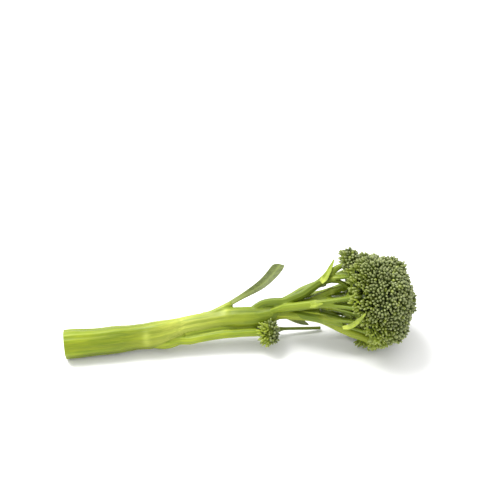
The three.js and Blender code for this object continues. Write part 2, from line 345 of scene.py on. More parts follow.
def corners_of(mesh, what="co"):
    """A mesh's corners, or another vector that it holds for each of them, as an array."""
    values = np.empty(len(mesh.vertices) * 3)
    mesh.vertices.foreach_get(what, values)
    return values.reshape(-1, 3)


HELD_AS = {1: ("FLOAT", "value"), 3: ("FLOAT_VECTOR", "vector"), 4: ("FLOAT_COLOR", "color")}


def hold(mesh, **columns):
    """Gives each corner a number, a vector or a colour under each name, for the piece's material to
    read."""
    for name, values in columns.items():
        kind, field = HELD_AS[values.size // len(values)]
        mesh.attributes.new(name, kind, "POINT").data.foreach_set(field, values.astype(np.float32).ravel())


def placed(name, data):
    """A new object in the scene."""
    thing = bpy.data.objects.new(name, data)
    bpy.context.scene.collection.objects.link(thing)
    return thing


def piece(name, mesh, slot, replaced=()):
    """A finished piece of the stalk that rides on its body, stands for its solids and wears its slot's
    finish."""
    thing = placed(name, mesh)
    thing.data.materials.append(FINISHES[slot])
    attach(thing, BODY)
    if replaced:
        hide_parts(*replaced)


# ----------------------------------------------------------------------------------------- materials

class Number:
    """A number in a material. Arithmetic on it adds Math nodes."""

    def __init__(self, look, socket):
        self.look = look
        self.socket = socket

    def maths(self, operation, *others, clamp=False):
        """The Math node of that operation on this number and the others."""
        inputs = {i: value for i, value in enumerate((self, *others))}
        return self.look.add("ShaderNodeMath", {"operation": operation, "use_clamp": clamp}, inputs)

    def __add__(self, other):
        return self.maths("ADD", other)

    def __mul__(self, other):
        return self.maths("MULTIPLY", other)

    def __rsub__(self, other):
        return (self * -1).maths("ADD", other)

    __radd__, __rmul__ = __add__, __mul__

    def within(self, low, high):
        """This number's place between low and high, from 0 to 1, eased at both ends."""
        inputs = {"Value": self, "From Min": low, "From Max": high}
        return self.look.add("ShaderNodeMapRange", {"interpolation_type": "SMOOTHSTEP"}, inputs)


def set_stops(elements, stops):
    """Gives a ramp its stops, each a place and a colour."""
    while len(elements) < len(stops):
        elements.new(0.5)
    for element, (position, shade) in zip(elements, stops):
        element.position = position
        element.color = shade


class Look:
    """One material. add() puts in any node by its type, its settings, and its sockets' values or
    links."""

    def __init__(self, name):
        self.material = bpy.data.materials.new(name)
        self.material.use_nodes = True
        self.tree = self.material.node_tree
        self.shader = self.tree.nodes["Principled BSDF"]

    def add(self, kind, settings=None, inputs=None, output=0):
        """A node with its settings, or a ramp's stops, made first and then its inputs. Returns the wanted
        output."""
        node = self.tree.nodes.new(kind)
        for setting, value in (settings or {}).items():
            if setting == "stops":
                set_stops(node.color_ramp.elements, value)
            else:
                setattr(node, setting, value)
        self.feed(node, inputs or {})
        return Number(self, node.outputs[output])

    def feed(self, node, inputs):
        """Sets or links a node's inputs."""
        for key, value in inputs.items():
            if isinstance(value, Number):
                self.tree.links.new(value.socket, node.inputs[key])
            else:
                node.inputs[key].default_value = value

    def attribute(self, name, output="Fac"):
        """What the piece itself holds under that name."""
        return self.add("ShaderNodeAttribute", {"attribute_name": name}, output=output)

    def place(self):
        """Where a point is on the piece, in metres."""
        return self.add("ShaderNodeTexCoord", output="Object")

    def stretched(self, vector, scale):
        """A vector with each part multiplied by its own scale."""
        return self.add("ShaderNodeMapping", inputs={"Vector": vector, "Scale": scale})

    def noise(self, vector, scale, detail, roughness):
        """Soft random patches from 0 to 1."""
        inputs = {"Vector": vector, "Scale": scale, "Detail": detail, "Roughness": roughness}
        return self.add("ShaderNodeTexNoise", inputs=inputs)

    def blend(self, share, first, second, how="MIX"):
        """Two colours mixed by a share from 0 to 1."""
        settings = {"data_type": "RGBA", "blend_type": how}
        return self.add("ShaderNodeMix", settings, {0: share, 6: first, 7: second}, output=2)

    def ramp(self, value, stops):
        """A colour read from stops of place and colour."""
        return self.add("ShaderNodeValToRGB", {"stops": stops}, {0: value})

    def bump(self, height, distance, strength):
        """A surface direction tilted by a height that is given in metres by distance."""
        inputs = {"Height": height, "Distance": distance, "Strength": strength}
        return self.add("ShaderNodeBump", inputs=inputs)

    def finish(self, **sockets):
        """Feeds the shader's own sockets, named with underlines for spaces."""
        self.feed(self.shader, {key.replace("_", " "): value for key, value in sockets.items()})
        return self.material


def linear(shade):
    """A colour given as display values from 0 to 255, as the linear values that a material takes."""
    values = np.array(shade) / 255
    return np.where(values <= 0.04045, values / 12.92, ((values + 0.055) / 1.055) ** 2.4)


def colour(*shade):
    """A display colour as an opaque linear colour."""
    return (*linear(shade).tolist(), 1.0)


# How light spreads inside thin green parts: how far each colour goes, and over what distance in metres.
GLOW = {"Subsurface_Radius": (0.9, 1.0, 0.25), "Subsurface_Scale": 0.0006}


def flesh_look():
    """Smooth waxy stem skin: its tint, which also holds painted shade in the rib grooves and on the
    underside, long fibres and fine threads, pale flecks and a ringed cut face."""
    look = Look("stem_flesh")
    grain = look.attribute("grain", "Vector")
    # The tint carries painted shade: darker in the rib grooves and on the underside.
    tint = look.attribute("tint", "Color")
    cut, ring = look.attribute("cut"), look.attribute("ring")
    fibres = look.noise(look.stretched(grain, (1.0, 1.0, 0.035)), 0.75, 4.0, 0.6)
    threads = look.noise(look.stretched(grain, (1.0, 1.0, 0.025)), 2.2, 3.0, 0.6)
    clouds = look.noise(look.stretched(grain, (1.0, 1.0, 0.4)), 0.16, 3.0, 0.5)
    pores = look.noise(look.place(), 2400.0, 2.0, 0.5)
    deep = look.blend(1.0, tint, (0.6, 0.72, 0.4, 1), "MULTIPLY")
    pale = look.blend(1.0, tint, (1.45, 1.34, 1.55, 1), "MULTIPLY")
    skin = look.blend(0.3 + fibres.within(0.34, 0.60) * 0.7, deep, tint)
    skin = look.blend(threads.within(0.50, 0.66) * 0.75, skin, pale)
    skin = look.blend(clouds.within(0.45, 0.72) * 0.5, skin, pale)
    skin = look.blend(pores.within(0.66, 0.78) * 0.3, skin, pale)
    pith = look.ramp(ring, [
        (0.0, colour(178, 192, 104)), (0.62, colour(168, 184, 88)), (0.76, colour(122, 146, 44)),
        (0.86, colour(160, 178, 72)), (1.0, colour(112, 134, 36)),
    ])
    wet = look.noise(look.place(), 1500.0, 3.0, 0.6)
    pith = look.blend(wet.within(0.35, 0.7) * 0.35, pith, colour(200, 210, 132))
    height = (fibres * 0.8 + threads * 0.35) * (1 - cut) + pores * 0.1 + wet * cut * 0.5
    return look.finish(
        Base_Color=look.blend(cut, skin, pith),
        Roughness=0.34 + fibres * (1 - cut) * 0.2 + cut * 0.2,
        Normal=look.bump(height, 0.0004, 0.5),
        Specular_IOR_Level=0.28,
        Subsurface_Weight=0.08,
        Subsurface_Radius=(0.9, 1.0, 0.2),
        Subsurface_Scale=0.0009,
        Coat_Weight=0.05,
        Coat_Roughness=0.25,
    )


def bud_look():
    """Closed buds: yellow-green where they join their stalk, darker low down as painted shade between crowded
    buds, sage and waxy towards a pale tip that is partly a painted highlight, and with their sepals' seams
    darkened as painted shade."""
    look = Look("bud_skin")
    along, tone, warm = look.attribute("along"), look.attribute("tone"), look.attribute("warm")
    bloom = look.noise(look.place(), 1300.0, 2.0, 0.5)
    # Along each bud: the dark stretch low down is painted shade between crowded buds, and the pale tip is its
    # sage bloom with a painted highlight.
    body = look.ramp(along, [
        (0.0, colour(104, 120, 24)), (0.3, colour(66, 80, 18)), (0.6, colour(86, 99, 36)),
        (0.8, colour(150, 160, 92)), (1.0, colour(180, 187, 122)),
    ])
    # The tone darkens a bud: part random, part painted shade on the side head's front.
    body = look.blend((tone * 0.5).maths("MINIMUM", 0.9), body, colour(62, 77, 22))
    body = look.blend(bloom.within(0.45, 0.75) * 0.3, body, colour(162, 169, 108))
    body = look.blend(warm.maths("MULTIPLY", 0.85, clamp=True), body, colour(168, 184, 48))
    # Painted shade: the seams between the sepals are darkened.
    seam = look.attribute("seam")
    return look.finish(
        Base_Color=look.blend(seam * 0.5, body, colour(62, 74, 24)),
        Roughness=0.40 + bloom * 0.2,
        Normal=look.bump(bloom * 0.4 + seam * -0.6, 0.00018, 0.6),
        Subsurface_Weight=0.06,
        Coat_Weight=0.25,
        Coat_Roughness=0.22,
        **GLOW,
    )


def stalklet_look():
    """Thin bud stalks: yellow-green, darkened as painted shade the deeper they lie in the floret; the trimmed
    leaf stalk takes the same darkening as its own darker tone.
    """
    look = Look("branch_flesh")
    depth, tone = look.attribute("depth"), look.attribute("tone")
    flecks = look.noise(look.stretched(look.place(), (1.0, 2.0, 2.0)), 900.0, 3.0, 0.55)
    body = look.blend(tone, colour(118, 136, 34), colour(152, 166, 58))
    body = look.blend(flecks.within(0.35, 0.7) * 0.5, body, colour(100, 120, 26))
    return look.finish(
        # Painted shade: blended towards near black by how deep the part lies in the floret.
        Base_Color=look.blend(depth, body, colour(40, 52, 8)),
        Roughness=0.42 + flecks * 0.18,
        Normal=look.bump(flecks, 0.00015, 0.5),
        Specular_IOR_Level=0.3,
        Subsurface_Weight=0.08,
        **GLOW,
    )


def leaf_look(name, blade, rib, dark):
    """A leaf's skin: a pale midrib and side veins on a duller blade, with fine mottling, a waxy bloom and a
    painted highlight along its edges."""
    look = Look(name)
    across_leaf, along, vein = look.attribute("across"), look.attribute("along"), look.attribute("vein")
    mottle = look.noise(look.place(), 420.0, 4.0, 0.6)
    fine = look.noise(look.place(), 2600.0, 2.0, 0.5)
    body = look.blend(mottle.within(0.3, 0.7), dark, blade)
    body = look.blend(fine.within(0.5, 0.75) * 0.25, body, colour(176, 184, 150))
    body = look.blend(vein * 0.5, body, rib)
    body = look.blend(1 - along.within(0.12, 0.42), body, rib)
    # Painted highlight: the blade's edges are lightened towards the rib colour.
    edge = across_leaf.maths("ABSOLUTE").within(0.9, 1.0)
    return look.finish(
        Base_Color=look.blend(edge * 0.45, body, rib),
        Roughness=0.44 + mottle * 0.18,
        Normal=look.bump(mottle * 0.5 + vein * -0.5 + fine * 0.2, 0.00022, 0.6),
        Specular_IOR_Level=0.32,
        Subsurface_Weight=0.05,
        **GLOW,
    )


def floor_look():
    """Plain matt white paper."""
    look = Look("white_paper")
    fibre = look.noise(look.place(), 800.0, 3.0, 0.6)
    white = look.blend(fibre, (0.92, 0.92, 0.92, 1), (0.945, 0.945, 0.94, 1))
    return look.finish(Base_Color=white, Roughness=0.9)


FINISHES = {
    "stem_flesh": flesh_look(),
    "bud_skin": bud_look(),
    "branch_flesh": stalklet_look(),
    "leaf_blade": leaf_look("leaf_blade", colour(92, 102, 46), colour(124, 137, 62), colour(68, 79, 26)),
    "bract_skin": leaf_look("bract_skin", colour(152, 168, 50), colour(178, 190, 78), colour(122, 140, 32)),
}

# ------------------------------------------------------------ the lines of the stem and its branches

CROWN = middle_of("floret_tip")
CROWN[0] = box("floret_tip")[1][0] - CROWN_REACH

stem_line, stem_radii = even(*spine_of("main_stem", 120))
fuller = bell(stem_line[:, 0], CROWN[0] + FULLER_AT, FULLER_WIDTH)
stem_line = stem_line + fuller[:, None] * [0, -1.0, -1.5]
stem_radii = stem_radii + 0.8 * fuller
cut_middle, cut_normal = stem_line[0].copy(), unit(stem_line[0] - stem_line[4])
spines = {"main_stem": (stem_line, stem_radii)}


def grown_from(parent, line, radii):
    """A branch's line led back into its parent, so that it leaves it at a slant: a cubic curve from a
    point on the parent's line, some offsets upstream, to the branch's first station, tangent to both."""
    parent_line = parent[0]
    nearest = np.argmin(np.linalg.norm(parent_line - line[0], axis=1))
    offset = np.linalg.norm(parent_line[nearest] - line[0])
    root = np.argmin(np.abs(parent_line[:, 0] - (line[0, 0] - SLANT * offset)))
    start, end = parent_line[root], line[0]
    reach = np.linalg.norm(end - start) * 0.4
    lead = start + unit(parent_line[root + 1] - parent_line[root]) * reach
    tail = end - unit(line[1] - line[0]) * reach
    t = np.linspace(0, 1, 10)[:-1, None]
    curve = (1 - t) ** 3 * start + 3 * (1 - t) ** 2 * t * lead + 3 * (1 - t) * t ** 2 * tail + t ** 3 * end
    swell = radii[0] * (1 + 0.25 * (1 - t[:, 0]) ** 2)
    return np.concatenate([curve, line]), np.concatenate([swell, radii])


def grown_on(line, radii, target, share=0.62, taper=0.62):
    """An organ led on past its end, over a share of the way to a target, thinning to a share of its
    radius."""
    start, far = line[-1], line[-1] + (target - line[-1]) * share
    reach = np.linalg.norm(far - start)
    t = np.linspace(0, 1, max(4, round(reach / STEP)))[1:, None]
    curve = bent(start, start + unit(line[-1] - line[-5]) * reach * 0.5, far, t)
    return np.concatenate([line, curve]), np.concatenate([radii, radii[-1] * (1 + (taper - 1) * t[:, 0])])


def side_shoot_spines():
    """The side shoot's line and radii, and those of the web of flesh that joins it to the stem. The shoot
    keeps close to the stem until it leaves it towards its end, and the web lies along the part that keeps
    close."""
    line, radii = spine_of("side_shoot")
    kept = line[:, 0] > CROWN[0] + SHOOT_FOOT[-1, 0] + 3
    line, radii = line[kept], radii[kept] * 1.04
    nearest = np.linalg.norm(stem_line[None] - line[:, None], axis=2).argmin(1)
    offset = line - stem_line[nearest]
    gap = np.linalg.norm(offset, axis=1)
    touching = np.minimum(gap, (stem_radii[nearest] + radii) * 1.16)
    free = np.clip((line[:, 0] - (CROWN[0] + SHOOT_LEAVES_AT)) / SHOOT_LEAVES_OVER, 0, 1)
    hugging = stem_line[nearest] + offset * (touching / gap)[:, None]
    line = hugging + (line - hugging) * free[:, None]
    web = (stem_line[nearest] + offset * (stem_radii[nearest] * 0.98 / gap)[:, None])[free < 0.25]
    web_radii = np.interp(web[:, 0], [web[0, 0], web[-1, 0] - 6, web[-1, 0]], [2.5, 2.0, 0.8])
    shoot = np.concatenate([SHOOT_FOOT[:, :3] + CROWN, line]), np.concatenate([SHOOT_FOOT[:, 3], radii])
    return shoot, (web, web_radii)


def grouped(points, count):
    """Splits points into groups of neighbours: each point joins its nearest centre, and each centre moves
    to its points' mean, eight times over."""
    centres = points[np.linspace(0, len(points) - 1, count).astype(int)]
    for _ in range(8):
        group = np.linalg.norm(points[:, None] - centres[None], axis=2).argmin(1)
        centres = np.array([
            points[group == i].mean(0) if (group == i).any() else centres[i] for i in range(count)])
    return group


def divided(line, radii, at_x, middles, count):
    """A branch that divides: its own line cut short at an X, and the thinner lines that go on from there,
    one to each group of the bud clusters that it carries. Returns the branch, the stalks and each
    cluster's stalk."""
    at = max(4, min(len(line) - 3, int(np.searchsorted(line[:, 0], at_x))))
    start, way, girth = line[at], unit(line[at + 2] - line[at - 2]), radii[at]
    group = grouped(middles, min(count, len(middles)))
    stalks = []
    for i in range(group.max() + 1):
        target = middles[group == i].mean(0)
        end = start + (target - start) * 0.82
        reach = np.linalg.norm(end - start)
        aside = (target - start) - way * ((target - start) @ way)
        aside = aside / max(np.linalg.norm(aside), 1e-6)
        root = start - way * 2.0 + aside * girth * 0.35
        bend = start + way * reach * 0.5 + aside * girth * 0.9
        t = np.linspace(0, 1, max(5, round(reach / STEP)))[:, None]
        thinning = np.interp(t[:, 0], [0, 0.25, 1], [0.72, 0.56, 0.44])
        stalks.append((bent(root, bend, end, t), girth * thinning))
    return (line[:at + 2], radii[:at + 2] * np.linspace(1, 1.06, at + 2)), stalks, group


shoot, web = side_shoot_spines()
spines["side_shoot"], spines["shoot_web"] = even(*shoot), even(*web)
for name in BRANCHES:
    parent = spines["branch_outer_1" if name == "small" else "main_stem"]
    spines[f"branch_{name}"] = even(*grown_from(parent, *spine_of(f"branch_{name}")))

line, radii = spines["branch_outer_5"]
low = np.clip((line[:, 0] - (CROWN[0] + DROOP_FROM)) / DROOP_OVER, 0, 1)
line = line + low[:, None] * [0, -0.7, -0.9]
radii = radii * (1 + 0.28 * low)
spines["branch_outer_5"] = grown_on(line, radii, CROWN + LOW_BRANCH_END, share=1.0, taper=0.8)


# ----------------------------------------------------------------- the skin of the stem and branches

def tint_along(name, line):
    """The linear colour of each station of an organ's line."""
    if name == "main_stem":
        length = line[:, 0] - line[0, 0]
        stops = [place for place, _ in STEM_TINTS]
        shades = np.array([linear(shade) for _, shade in STEM_TINTS])
        return np.stack([np.interp(length, stops, part) for part in shades.T], 1)
    share = np.clip(np.arange(len(line)) / 14, 0, 1)[:, None]
    return linear(ROOT_TINT) * (1 - share) + linear(BRANCH_TINTS.get(name, BRANCH_TINT)) * share


def leaf_foot():
    """The long leaf's swollen foot: a short body from inside the stem out along the leaf's rib."""
    rib = np.array(LEAVES["long_leaf"][-1])[:3, :3]
    foot, towards = rib[0] + CROWN, unit(rib[2] - rib[0])
    nearest = stem_line[np.argmin(np.linalg.norm(stem_line - foot - towards, axis=1))]
    start = nearest - [7.0, 0, 0] + (foot - nearest) * 0.3
    t = np.linspace(0, 1, 14)[:, None]
    line = bent(start, foot - towards * 4.5, foot + towards * 9.0, t)
    return sweep(line[None], np.interp(t[:, 0], [0, 0.5, 1], [3.4, 2.3, 1.5])[None], 16)


def flesh_block():
    """The stem and its branches as one skin: round bodies along every spine, with the leaf's swollen
    foot, merged by a voxel skin and smoothed."""
    bodies = []
    for name, (line, radii) in spines.items():
        if name == "main_stem":
            over = cut_middle + cut_normal * np.array([[3.0], [1.5]])
            line, radii = np.concatenate([over, line]), np.concatenate([[radii[0]] * 2, radii])
        bodies.append(sweep(line[None], radii[None] * PLUMP, 24))
    bodies.append(leaf_foot())
    block = placed("skin_block", mesh_of("skin_block", joined(bodies), scale=1))
    skin = block.modifiers.new("skin", "REMESH")
    skin.mode = "VOXEL"
    skin.voxel_size = SKIN_GRAIN
    skin.use_smooth_shade = True
    ease = block.modifiers.new("ease", "SMOOTH")
    ease.factor = 0.5
    ease.iterations = 6
    whole = bpy.data.meshes.new_from_object(block.evaluated_get(bpy.context.evaluated_depsgraph_get()))
    bpy.data.objects.remove(block)
    return whole


def nearest_skin(points, lines, radii, batch=6000):
    """For each point, the station whose skin it lies nearest to, and how far off that skin it is."""
    nearest, away = np.empty(len(points), int), np.empty(len(points))
    for start in range(0, len(points), batch):
        chunk = points[start:start + batch]
        squared = (chunk ** 2).sum(1)[:, None] - 2 * chunk @ lines.T + (lines ** 2).sum(1)
        gap = np.sqrt(np.maximum(squared, 0)) - radii * PLUMP
        best = gap.argmin(1)
        nearest[start:start + batch] = best
        away[start:start + batch] = gap[np.arange(len(chunk)), best]
    return nearest, away


def along_organs(corners):
    """Where each corner is on its nearest organ: the angle round it, the run along it, the organ's own
    phase, girth and tint there, its ribs' height, and how settled it is on that organ rather than in a
    crook between two."""
    organs = list(spines.items())
    lines = np.concatenate([line for _, (line, _) in organs])
    radii = np.concatenate([radii for _, (_, radii) in organs])
    tints = np.concatenate([tint_along(name, line) for name, (line, _) in organs])
    frames = [frames_along(line[None]) for _, (line, _) in organs]
    side, other = (np.concatenate([part[i][0] for part in frames]) for i in (1, 2))
    length = np.concatenate([np.arange(len(line)) * STEP for _, (line, _) in organs])
    phase = np.concatenate([np.full(len(line), i * ORGAN_PHASE) for i, (_, (line, _)) in enumerate(organs)])
    nearest, away = nearest_skin(corners, lines, radii)
    out = corners - lines[nearest]
    angle = np.arctan2((out * other[nearest]).sum(1), (out * side[nearest]).sum(1))
    run, own, girth = length[nearest], phase[nearest], radii[nearest]
    ribs = (np.cos(5 * angle + run * 0.03 + own) * 0.5 + np.cos(8 * angle - run * 0.045 + 2 * own) * 0.4
            + np.cos(14 * angle + run * 0.02 + own) * 0.25)
    return {
        "angle": angle, "run": run, "own": own, "girth": girth, "ribs": ribs, "tint": tints[nearest],
        "settled": np.clip(1.3 - np.abs(away) / 0.8, 0, 1),
    }


def cut_square(mesh):
    """Cuts the stem's foot off square and closes it with rings that step in towards the middle and dish
    slightly. Returns each corner's share of the cut face's radius, which is 1 on all of the skin."""
    hold(mesh, ring=np.ones(len(mesh.vertices)))
    shape = bmesh.new()
    shape.from_mesh(mesh)
    ring = shape.verts.layers.float["ring"]
    everything = [*shape.verts, *shape.edges, *shape.faces]
    bmesh.ops.bisect_plane(shape, geom=everything, plane_co=cut_middle, plane_no=cut_normal, clear_outer=True)
    rim = [edge for edge in shape.edges if edge.is_boundary]
    middle = Matrix.Translation(-Vector(cut_middle))
    share = 1.0
    for wanted, dish in zip(CUT_RINGS, CUT_DISH):
        grown = bmesh.ops.extrude_edge_only(shape, edges=rim)["geom"]
        corners = [part for part in grown if isinstance(part, bmesh.types.BMVert)]
        rim = [part for part in grown if isinstance(part, bmesh.types.BMEdge)]
        bmesh.ops.scale(shape, vec=[wanted / share] * 3, space=middle, verts=corners)
        bmesh.ops.translate(shape, vec=cut_normal * dish, verts=corners)
        for corner in corners:
            corner[ring] = wanted
        share = wanted
    bmesh.ops.holes_fill(shape, edges=rim)
    bmesh.ops.recalc_face_normals(shape, faces=shape.faces)
    shape.to_mesh(mesh)
    shape.free()
    shares = np.empty(len(mesh.vertices))
    mesh.attributes["ring"].data.foreach_get("value", shares)
    return shares


def at_joints(corners, joints):
    """How near each corner is to a joint: 1 at its middle, falling as a bell curve as wide as the joint's
    sizes."""
    apart = (corners[:, None] - joints[None, :, :3]) / joints[None, :, [3, 4, 4]]
    return np.exp(-(apart ** 2).sum(2)).max(1)


def dressed_flesh(joints):
    """The flesh with its ribs, and with the numbers that its material reads: grain, tint with painted shade
    in it, cut and ring."""
    mesh = flesh_block()
    corners, normals = corners_of(mesh), corners_of(mesh, "normal")
    here = along_organs(corners)
    rib_height = np.where(here["own"] > 0, BRANCH_RIBS, STEM_RIBS)
    uneven = rib_height * here["ribs"] + 0.02 * np.sin(here["run"] * 0.31 + here["own"])
    swell = uneven * here["girth"] * here["settled"] + JOINT_HEIGHT * at_joints(corners, joints)
    corners += normals * swell[:, None]
    corners[:, 2] = np.maximum(corners[:, 2], 0)
    mesh.vertices.foreach_set("co", corners.ravel())
    cut = (cut_square(mesh) < 0.999) * 1.0
    corners = corners_of(mesh)
    here = along_organs(corners)
    mesh.vertices.foreach_set("co", (corners * MM).ravel())
    mesh.polygons.foreach_set("use_smooth", np.ones(len(mesh.polygons), bool))
    # Painted shade and light: the tint follows the ribs, darker in their grooves and lighter on their crests.
    painted_rib_shade = np.clip(0.95 + 0.14 * here["ribs"], 0.7, 1.2)[:, None]
    # Painted shade: the tint is darkened where the skin faces the floor, but not on the cut face.
    painted_underside_shade = np.clip(-2.0 * corners_of(mesh, "normal")[:, 2:] - 0.6, 0, 1) * (1 - cut[:, None])
    pale = 0.5 * at_joints(corners, joints)[:, None]
    tint = here["tint"] * painted_rib_shade * (1 - pale) + linear(JOINT_TINT) * pale
    tint = tint * (1 - 0.45 * painted_underside_shade)
    hold(
        mesh,
        grain=np.stack([np.cos(here["angle"]) * here["girth"] + here["own"] * 9,
                        np.sin(here["angle"]) * here["girth"], here["run"]], 1),
        tint=np.concatenate([tint, np.ones((len(corners), 1))], 1),
        cut=cut,
    )
    mesh.update()
    return mesh


# --------------------------------------------------------------------------------- the heads of buds

def cap_directions(count, widest):
    """Directions spread evenly over a cap round +X: a golden-angle spiral whose cosine falls in even
    steps."""
    k = np.arange(count) + 0.5
    cosine = 1 - k / count * (1 - math.cos(math.radians(widest)))
    sine = np.sqrt(1 - cosine ** 2)
    turn = k * GOLDEN
    return np.stack([cosine, sine * np.cos(turn), sine * np.sin(turn)], 1)


def floret_surface(names):
    """All the named florets' solids as one search tree, with the floret that each triangle belongs to."""
    corners, triangles, owner, base = [], [], [], 0
    for i, name in enumerate(names):
        points, faces = solid(name)
        corners.append(points)
        triangles.append(faces + base)
        owner.append(np.full(len(faces), i))
        base += len(points)
    tree = BVHTree.FromPolygons(np.concatenate(corners).tolist(), np.concatenate(triangles).tolist())
    return tree, np.concatenate(owner)


def rear_limit(turn):
    """How far round from +X the crown's buds reach, in degrees, at each angle round X. Low on the side
    that faces -Y the florets stop short, and their stalks show."""
    off = (np.degrees(turn) - OPEN_SIDE + 180) % 360 - 180
    return CROWN_WIDEST - OPEN_DEPTH * bell(off, 0, OPEN_WIDTH)


def clusters_on(names, middle, fan, rays, limit, radius, even_out, mean_reach, shouldered=0.0):
    """Where little clusters of buds sit on a head: rays spread round its middle meet the solids' outside,
    the reach is eased towards the head's mean, and each cluster's ball is set just inside. A cluster
    faces half away from the head's middle and half away from the point where its stalks fan out. "rim" is
    1 at the head's edge. A shouldered head stands prouder, by that share, in a band between its front and
    its edge. "lean" grows from 0 to 1 round the head's side, where its buds are longer and curl back
    towards the stem."""
    tree, owner = floret_surface(names)
    tilt = np.degrees(np.arccos(rays[:, 0]))
    room = limit - tilt
    found = []
    for ray, left in zip(rays[room > 0], room[room > 0]):
        hit, normal, face, _ = tree.ray_cast(Vector(middle + ray * 80), Vector(-ray))
        if hit is None or normal.dot(Vector(ray)) < 0.3:
            _, _, face, _ = tree.find_nearest(Vector(middle + ray * mean_reach))
            hit = Vector(middle + ray * mean_reach * 0.95)
        reach = np.linalg.norm(np.array(hit) - middle)
        off = (math.degrees(math.acos(ray[0])) - SHOULDER_AT) / SHOULDER_WIDTH
        shoulder = 1 + shouldered * math.exp(-off ** 2)
        reach = (reach + (mean_reach - reach) * even_out) * shoulder + rng.normal(0, 0.45)
        found.append((middle + ray * reach, ray, owner[face], left))
    points, rays, owners, left = (np.array(column) for column in zip(*found))
    rim = np.clip(1 - left / RIM_WIDTH, 0, 1)
    radii = radius * rng.uniform(0.86, 1.14, len(points)) * (1 + 0.12 * rim)
    return {
        "middle": points - rays * radii[:, None],
        "facing": unit(rays + unit(points - fan)),
        "radius": radii,
        "owner": owners,
        "rim": rim,
        "lean": np.clip((np.degrees(np.arccos(rays[:, 0])) - LEAN_FROM) / LEAN_OVER, 0, 1),
    }


def buds_of(clusters, per_cluster, widest, looseness=0.25, thinning=0.5):
    """The buds of every cluster: an even cap of directions turned to face the cluster's way, each bud's
    middle on the cluster's ball with some jitter. Buds sunk in a neighbour's ball, too near the floor or
    crowding an earlier bud are dropped, and so are a few at random, more of them at the head's edge."""
    middle, facing, radius = clusters["middle"], clusters["facing"], clusters["radius"]
    side = across(facing)
    other = np.cross(facing, side)
    local = cap_directions(per_cluster, widest)
    spin = rng.uniform(0, 2 * math.pi, len(middle))[:, None]
    y = local[:, 1] * np.cos(spin) - local[:, 2] * np.sin(spin)
    z = local[:, 1] * np.sin(spin) + local[:, 2] * np.cos(spin)
    ways = facing[:, None] * local[None, :, :1] + side[:, None] * y[..., None] + other[:, None] * z[..., None]
    reach = (radius - 0.45 * BUD_LENGTH)[:, None] + rng.normal(0, looseness, ways.shape[:2])
    places = middle[:, None] + ways * reach[..., None]
    cluster = np.broadcast_to(np.arange(len(middle))[:, None], ways.shape[:2]).ravel()
    places, ways = places.reshape(-1, 3), ways.reshape(-1, 3)
    places += rng.normal(0, 0.12, places.shape)
    centred = np.tile(local[:, 0], len(middle))
    to_ball = np.linalg.norm(places[:, None] - middle[None], axis=2)
    to_ball[np.arange(len(places)), cluster] = np.inf
    sunk = (to_ball < radius[None] - 0.45 * BUD_LENGTH - 0.5).any(1)
    missing = rng.uniform(0, 1, len(places)) < 0.04 + thinning * np.clip(clusters["rim"][cluster], 0, 1)
    keep = np.flatnonzero(~sunk & (places[:, 2] >= LOWEST_BUD) & ~missing)
    near = places[keep]
    squared = (near ** 2).sum(1)
    crowded = squared[:, None] + squared[None] - 2 * near @ near.T < BUD_ROOM ** 2
    chosen = np.ones(len(keep), bool)
    for i in range(len(keep)):
        if chosen[i]:
            chosen[i + 1:] &= ~crowded[i, i + 1:]
    keep = keep[chosen]
    curl = clusters["lean"][cluster[keep], None] * [-1.0, 0.0, 0.0]
    axis = unit(ways[keep] + 0.35 * facing[cluster[keep]] + curl + rng.normal(0, 0.08, (len(keep), 3)))
    return {"place": places[keep], "axis": axis, "cluster": cluster[keep], "centred": centred[keep]}


def bud_bodies(place, axis, length, width):
    """Buds as swept bodies along their own axis: a narrow foot, a round belly and a blunt tip of four
    sepals."""
    line = place[:, None] + axis[:, None] * ((BUD_STATIONS - 0.5)[None, :, None] * length[:, None, None])
    return sweep(line, BUD_GIRTH[None] * width[:, None] / 2, 8, np.tile(BUD_RIBS, (len(place), 1)))


def seam_of(shape):
    """How much each corner of a bud lies in the seam between two sepals: in every other column, towards
    the tip."""
    bodies, stations, sides = shape["layout"]
    column = np.tile(np.concatenate([np.tile(np.arange(sides) % 2, stations), [0, 1]]), bodies)
    return column * np.clip(shape["along"] * 1.6 - 0.5, 0, 1)


def stalk_bodies(start, end, thick, thin, sag, sides, stations):
    """Little stalks from start to end whose middle bows towards "sag", tapering from thick to thin."""
    t = np.linspace(0, 1, stations)[None, :, None]
    line = bent(start[:, None], ((start + end) / 2 + sag)[:, None], end[:, None], t)
    return sweep(line, thick[:, None] + (thin - thick)[:, None] * t[..., 0], sides)


def bud_piece(name, clusters, buds, wanted, replaced, size=1.0):
    """One floret's buds as a single piece."""
    mine = np.flatnonzero(wanted[buds["cluster"]])
    own = buds["cluster"][mine]
    count = len(mine)
    young, warmth, lean = buds["centred"][mine], clusters["warm"][own], clusters["lean"][own]
    length = BUD_LENGTH * size * rng.uniform(0.88, 1.12, count) * (1.08 - 0.16 * young)
    width = BUD_WIDTH * size * rng.uniform(0.85, 1.15, count) * (1.04 - 0.1 * young)
    width *= 1 - 0.22 * np.clip(warmth, 0, 1)
    length, width = length * (1 + 0.28 * lean), width * (1 - 0.12 * lean)
    shape = bud_bodies(buds["place"][mine], buds["axis"][mine], length, width)
    mesh = mesh_of(name, shape)
    mesh.uv_layers.new(name="OFBake").data.foreach_set("uv", atlas(shape).ravel())
    # Each bud's tone darkens it: a random share, plus its cluster's painted shade.
    tone = rng.uniform(0, 1, count) + clusters["dark"][own]
    warm = warmth * rng.uniform(0.45, 1.0, count)
    warm = np.maximum(warm, (rng.uniform(0, 1, count) < 0.08) * rng.uniform(0.2, 0.6, count))
    hold(mesh, along=shape["along"], seam=seam_of(shape), tone=tone[shape["body"]], warm=warm[shape["body"]])
    piece(name, mesh, "bud_skin", replaced)


